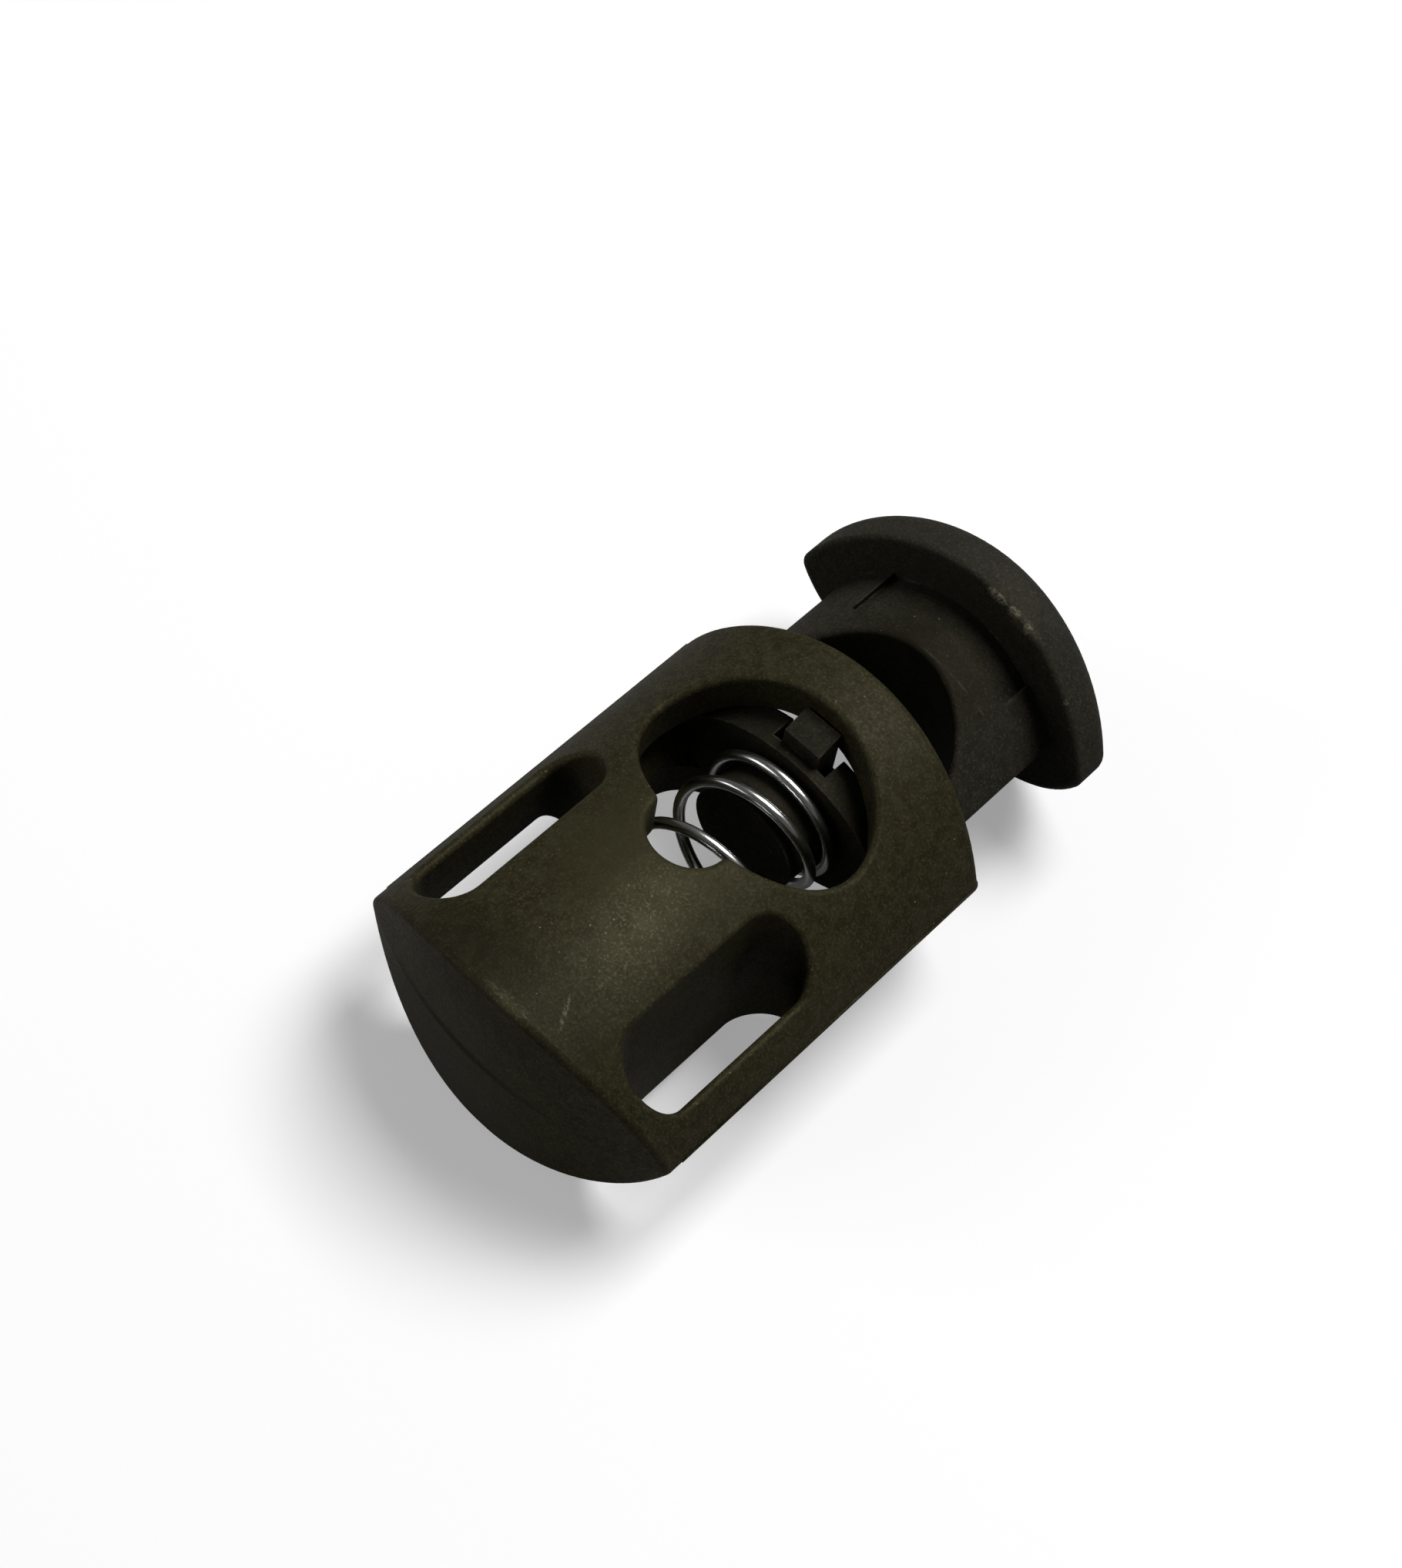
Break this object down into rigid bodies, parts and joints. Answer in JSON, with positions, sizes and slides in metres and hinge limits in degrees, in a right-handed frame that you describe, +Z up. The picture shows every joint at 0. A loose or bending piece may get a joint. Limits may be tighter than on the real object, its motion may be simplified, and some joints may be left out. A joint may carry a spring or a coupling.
{
  "type": "cord lock",
  "caption": "Spring cord lock with an oval section: pressing the flanged button lines up the cord holes, and letting go pinches the cord.",
  "frame": {"origin": "on the surface that the lock lies on, under the middle of its bounding box", "axes": "+Z up through the front cord hole, +Y along the barrel towards the button, +X across the barrel"},
  "size_m": [0.0174, 0.0326, 0.0118],
  "materials": {
    "olive_plastic": "fine matt moulded texture",
    "spring_steel": "bright drawn wire"
  },
  "bodies": {
    "barrel": {"barrel": "olive_plastic", "spring": "spring_steel"},
    "plunger": {"plunger": "olive_plastic"}
  },
  "joints": [
    {"name": "button_press", "type": "slide", "parent": "barrel", "child": "plunger", "axis": [0, -1, 0], "range_m": [0, 0.0054], "stiffness_N_per_m": 540, "springref_m": -0.005, "deforming": ["spring"]}
  ]
}
